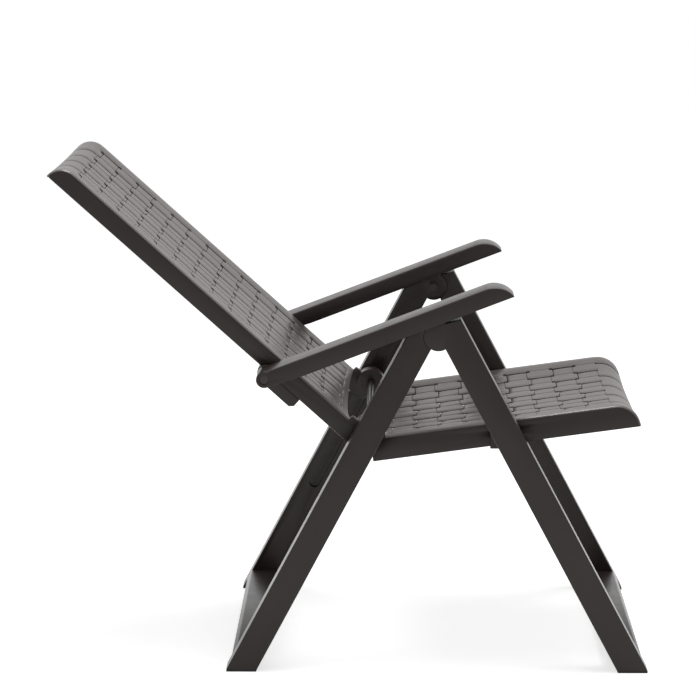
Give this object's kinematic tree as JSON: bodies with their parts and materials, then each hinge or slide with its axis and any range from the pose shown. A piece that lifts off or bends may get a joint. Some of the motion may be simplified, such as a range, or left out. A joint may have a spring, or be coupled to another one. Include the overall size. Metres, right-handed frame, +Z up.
{
  "type": "reclining garden armchair",
  "caption": "Folding resin garden armchair with a reclining slotted back, slotted seat, crossed A-frame legs and armrests with notched racks that ride over pegs.",
  "frame": {"origin": "on the floor at the middle of the bounding box's underside, in the chair's symmetry plane", "axes": "+X towards the sitter's left, +Y backwards so that the sitter faces -Y, +Z up"},
  "size_m": [0.613, 0.9758, 0.817],
  "materials": {
    "resin_dark": "moulded resin, dark brown",
    "resin_weave": "moulded resin, woven look",
    "steel": "blackened bar",
    "pad_rubber": "matt"
  },
  "bodies": {
    "rear_frame": {"rear_leg_left": "resin_dark", "rear_leg_right": "resin_dark", "rear_foot_pad_left": "pad_rubber", "rear_foot_pad_right": "pad_rubber", "rear_bottom_bar": "resin_dark", "frame_hinge_pins": "steel"},
    "front_frame": {"front_leg_left": "resin_dark", "front_leg_right": "resin_dark", "front_foot_pad_left": "pad_rubber", "front_foot_pad_right": "pad_rubber", "front_bottom_bar": "resin_dark", "seat_spacer_left": "resin_dark", "seat_spacer_right": "resin_dark"},
    "seat": {"seat_panel": "resin_weave", "seat_rail_left": "resin_dark", "seat_rail_right": "resin_dark", "seat_front_rail": "resin_dark", "seat_rear_rail": "resin_dark"},
    "hinge_shaft": {"hinge_rod": "steel", "slot_sliders": "resin_dark"},
    "backrest": {"back_panel": "resin_weave", "back_rail_left": "resin_dark", "back_rail_right": "resin_dark", "back_bracket_left": "resin_dark", "back_bracket_right": "resin_dark", "back_lower_rail": "resin_dark", "back_middle_rail": "resin_dark", "back_upper_rail": "resin_dark"},
    "arm_pivot_left": {"arm_bolt_left": "steel"},
    "arm_pivot_right": {"arm_bolt_right": "steel"},
    "arm_left": {"armrest_left": "resin_dark", "arm_rack_left": "resin_dark"},
    "arm_right": {"armrest_right": "resin_dark", "arm_rack_right": "resin_dark"}
  },
  "joints": [
    {"name": "fold", "type": "hinge", "parent": "rear_frame", "child": "front_frame", "pos_m": [0, -0.14401, 0.555], "axis": [1, 0, 0], "range_deg": [0, 56]},
    {"name": "seat_fold", "type": "hinge", "parent": "front_frame", "child": "seat", "pos_m": [0, -0.25286, 0.38863], "axis": [1, 0, 0], "range_deg": [-108.4, 0]},
    {"name": "shaft_turn", "type": "hinge", "parent": "seat", "child": "hinge_shaft", "pos_m": [0, -0.03251, 0.39004], "axis": [1, 0, 0], "range_deg": [0, 94.4]},
    {"name": "recline", "type": "hinge", "parent": "hinge_shaft", "child": "backrest", "pos_m": [0, -0.03251, 0.39004], "axis": [1, 0, 0], "range_deg": [0, 34]},
    {"name": "arm_bolt_turn_left", "type": "hinge", "parent": "backrest", "child": "arm_pivot_left", "pos_m": [0.275, 0.13575, 0.48502], "axis": [1, 0, 0], "range_deg": [-21.27, 0]},
    {"name": "arm_swing_left", "type": "hinge", "parent": "arm_pivot_left", "child": "arm_left", "pos_m": [0.275, 0.13575, 0.48502], "axis": [1, 0, 0], "range_deg": [-96.02, 0]},
    {"name": "arm_bolt_turn_right", "type": "hinge", "parent": "backrest", "child": "arm_pivot_right", "pos_m": [-0.275, 0.13575, 0.48502], "axis": [1, 0, 0], "range_deg": [-21.27, 0]},
    {"name": "arm_swing_right", "type": "hinge", "parent": "arm_pivot_right", "child": "arm_right", "pos_m": [-0.275, 0.13575, 0.48502], "axis": [1, 0, 0], "range_deg": [-96.02, 0]}
  ],
  "couplings": [
    {"joint": "seat_fold", "follows": "fold", "ratio": -1.9335},
    {"joint": "shaft_turn", "follows": "fold", "ratio": 1.6835},
    {"joint": "arm_bolt_turn_left", "follows": "recline", "ratio": -0.62269},
    {"joint": "arm_swing_left", "follows": "fold", "ratio": -1.7129},
    {"joint": "arm_bolt_turn_right", "follows": "recline", "ratio": -0.62269},
    {"joint": "arm_swing_right", "follows": "fold", "ratio": -1.7129}
  ]
}
